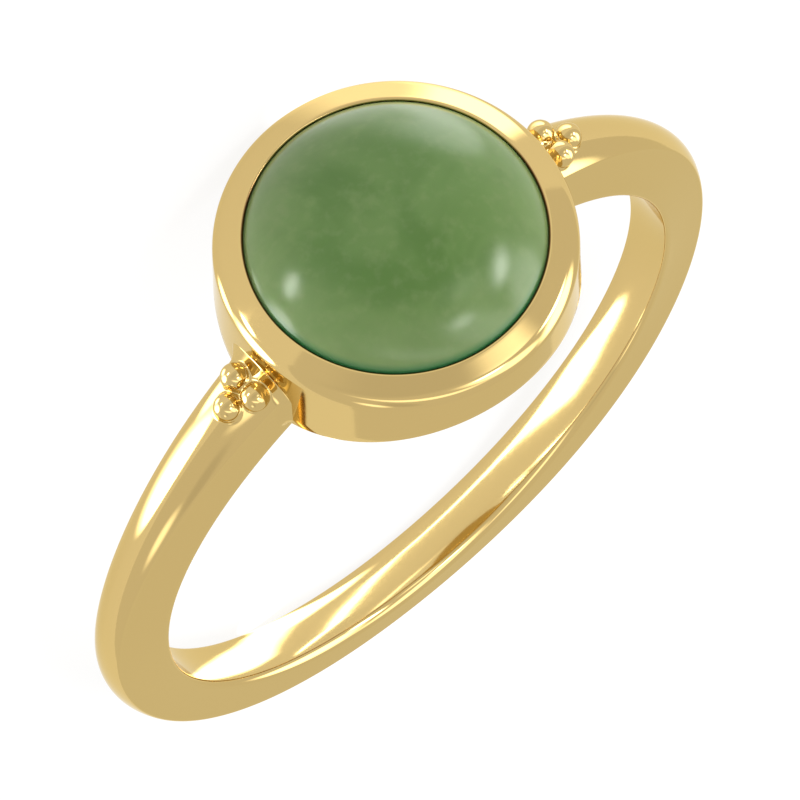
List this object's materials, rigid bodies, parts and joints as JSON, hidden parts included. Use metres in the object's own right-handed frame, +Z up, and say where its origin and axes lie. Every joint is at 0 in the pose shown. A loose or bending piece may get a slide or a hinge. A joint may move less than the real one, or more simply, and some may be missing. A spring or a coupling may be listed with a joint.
{
  "type": "cabochon ring",
  "caption": "Gold finger ring with a round green cabochon in a plain bezel cup, a tapering band and a triangle of soldered balls on each shoulder.",
  "frame": {"origin": "centre of the finger hole, on its axis and midway between the band's two sides", "axes": "the ring lies on its side as it rests on a table, stone towards -Y; +X runs across the ring, +Y from the stone to the back of the band, +Z up; the finger hole's axis leans 11.6 degrees from +Z towards +Y"},
  "size_m": [0.0208, 0.022, 0.0093],
  "materials": {
    "gold": "polished",
    "green_stone": "polished"
  },
  "bodies": {
    "root": {"gold_mount": "gold", "cabochon": "green_stone"}
  },
  "joints": []
}
